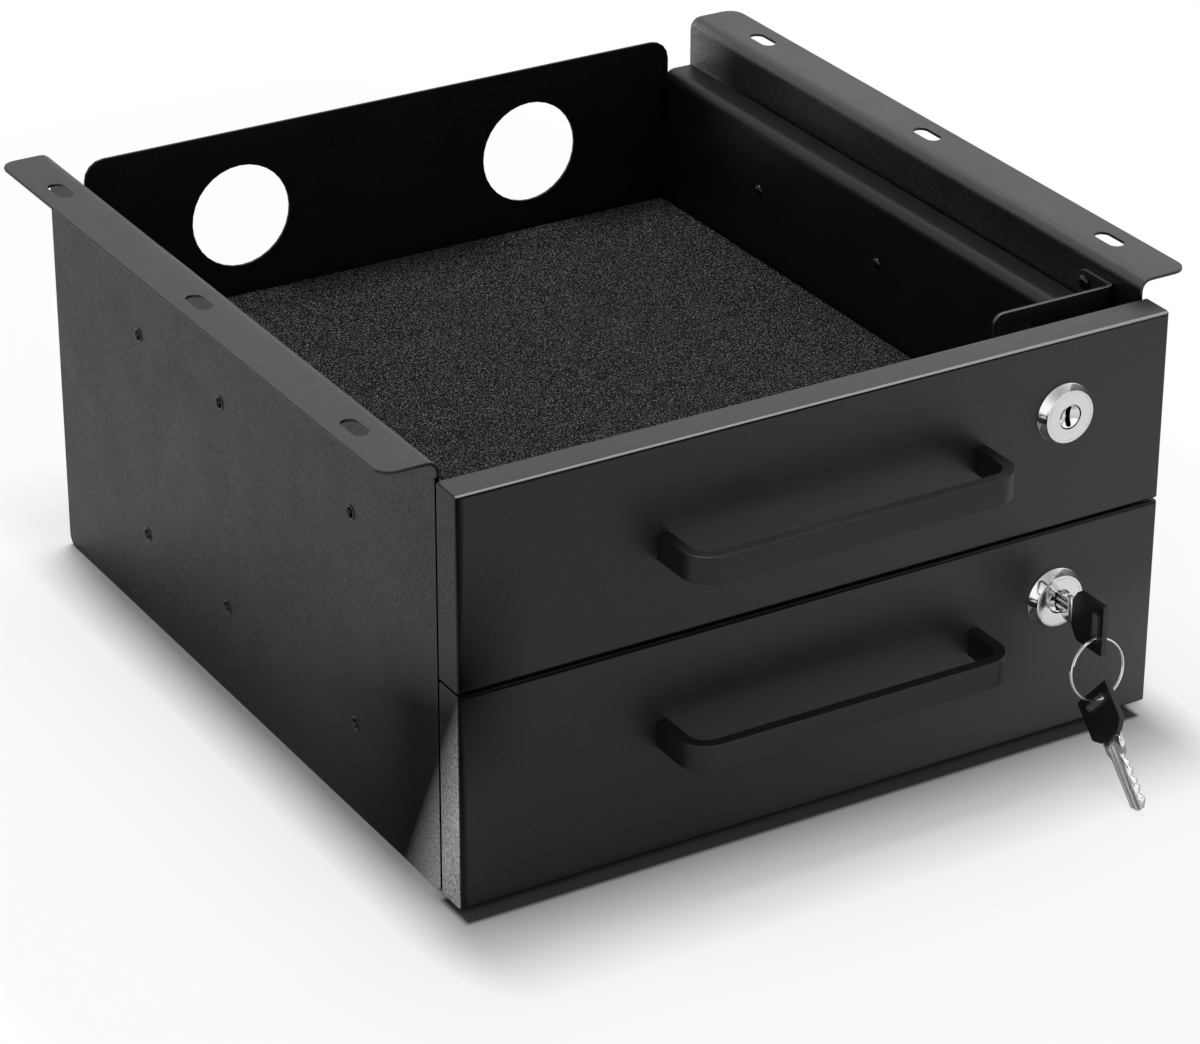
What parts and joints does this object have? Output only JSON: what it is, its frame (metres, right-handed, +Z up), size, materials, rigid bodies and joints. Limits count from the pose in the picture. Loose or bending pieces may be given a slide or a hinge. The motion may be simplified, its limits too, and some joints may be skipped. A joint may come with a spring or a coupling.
{
  "type": "under desk drawer safe",
  "caption": "Steel safe with stacked lockable drawers that hangs under a desk from its side flanges, with ball slides, cam locks, bar handles and keys on a ring.",
  "frame": {"origin": "centre of the case's footprint, on its underside; the drawer fronts, handles and keys stand out in front of it", "axes": "+X towards the user's right, -Y towards the user in front, +Z up"},
  "size_m": [0.323, 0.3777, 0.1636],
  "materials": {
    "black_paint": "fine-textured satin black powder coat on sheet steel",
    "black_steel": "blackened steel, smooth",
    "zinc_steel": "bright zinc plate",
    "chrome": "polished chrome",
    "nickel": "polished nickel plate",
    "felt": "dense charcoal felt",
    "black_plastic": "moulded satin plastic"
  },
  "bodies": {
    "case": {"left_side_panel": "black_paint", "right_side_panel": "black_paint", "bottom_panel": "black_paint", "lower_catch_bracket": "black_paint", "lower_catch_screw": "black_steel", "lower_left_slide_outer": "zinc_steel", "lower_left_slide_rivet_1": "black_steel", "lower_left_slide_rivet_2": "black_steel", "lower_left_slide_rivet_3": "black_steel", "lower_right_slide_outer": "zinc_steel", "lower_right_slide_rivet_1": "black_steel", "lower_right_slide_rivet_2": "black_steel", "lower_right_slide_rivet_3": "black_steel", "upper_catch_bracket": "black_paint", "upper_catch_screw": "black_steel", "upper_left_slide_outer": "zinc_steel", "upper_left_slide_rivet_1": "black_steel", "upper_left_slide_rivet_2": "black_steel", "upper_left_slide_rivet_3": "black_steel", "upper_right_slide_outer": "zinc_steel", "upper_right_slide_rivet_1": "black_steel", "upper_right_slide_rivet_2": "black_steel", "upper_right_slide_rivet_3": "black_steel"},
    "key": {"first_key_bow": "black_plastic", "first_key_blade": "nickel"},
    "key_ring": {"key_ring": "nickel"},
    "second_key": {"second_key_bow": "black_plastic", "second_key_blade": "nickel"},
    "lower_slides": {"lower_left_slide_middle": "zinc_steel", "lower_right_slide_middle": "zinc_steel"},
    "lower_drawer": {"lower_front": "black_paint", "lower_tray": "black_paint", "lower_back_wall": "black_paint", "lower_mat": "felt", "lower_handle": "black_paint", "lower_lock_body": "chrome", "lower_handle_screw_left": "zinc_steel", "lower_handle_screw_right": "zinc_steel", "lower_lock_nut": "zinc_steel", "lower_left_slide_inner": "zinc_steel", "lower_right_slide_inner": "zinc_steel"},
    "lower_lock": {"lower_lock_plug": "chrome", "lower_lock_cam": "zinc_steel", "lower_cam_screw": "zinc_steel"},
    "upper_slides": {"upper_left_slide_middle": "zinc_steel", "upper_right_slide_middle": "zinc_steel"},
    "upper_drawer": {"upper_front": "black_paint", "upper_tray": "black_paint", "upper_back_wall": "black_paint", "upper_mat": "felt", "upper_handle": "black_paint", "upper_lock_body": "chrome", "upper_handle_screw_left": "zinc_steel", "upper_handle_screw_right": "zinc_steel", "upper_lock_nut": "zinc_steel", "upper_left_slide_inner": "zinc_steel", "upper_right_slide_inner": "zinc_steel"},
    "upper_lock": {"upper_lock_plug": "chrome", "upper_lock_cam": "zinc_steel", "upper_cam_screw": "zinc_steel"}
  },
  "joints": [
    {"name": "lower_drawer_slide", "type": "slide", "parent": "case", "child": "lower_drawer", "axis": [0, -1, 0], "range_m": [0, 0.25]},
    {"name": "lower_slides_extend", "type": "slide", "parent": "case", "child": "lower_slides", "axis": [0, -1, 0], "range_m": [0, 0.125]},
    {"name": "lower_lock_turn", "type": "hinge", "parent": "lower_drawer", "child": "lower_lock", "pos_m": [0.09825, -0.1648, 0.0561], "axis": [0, 1, 0], "range_deg": [0, 90]},
    {"name": "upper_drawer_slide", "type": "slide", "parent": "case", "child": "upper_drawer", "axis": [0, -1, 0], "range_m": [0, 0.25]},
    {"name": "upper_slides_extend", "type": "slide", "parent": "case", "child": "upper_slides", "axis": [0, -1, 0], "range_m": [0, 0.125]},
    {"name": "upper_lock_turn", "type": "hinge", "parent": "upper_drawer", "child": "upper_lock", "pos_m": [0.09825, -0.1648, 0.12845], "axis": [0, 1, 0], "range_deg": [0, 90]},
    {"name": "key_withdrawal", "type": "slide", "parent": "lower_lock", "child": "key", "axis": [0, -1, 0], "range_m": [0, 0.03]},
    {"name": "key_ring_turn", "type": "hinge", "parent": "key", "child": "key_ring", "pos_m": [0.09825, -0.191, 0.0484], "axis": [0, 1, 0], "range_deg": [-90, 0]},
    {"name": "second_key_swing", "type": "hinge", "parent": "key_ring", "child": "second_key", "pos_m": [0.09755, -0.19546, 0.02947], "axis": [1, 0, 0], "range_deg": [-40, 70]}
  ],
  "couplings": [
    {"joint": "lower_slides_extend", "follows": "lower_drawer_slide", "ratio": 0.5},
    {"joint": "upper_slides_extend", "follows": "upper_drawer_slide", "ratio": 0.5},
    {"joint": "key_ring_turn", "follows": "lower_lock_turn", "ratio": -1}
  ]
}
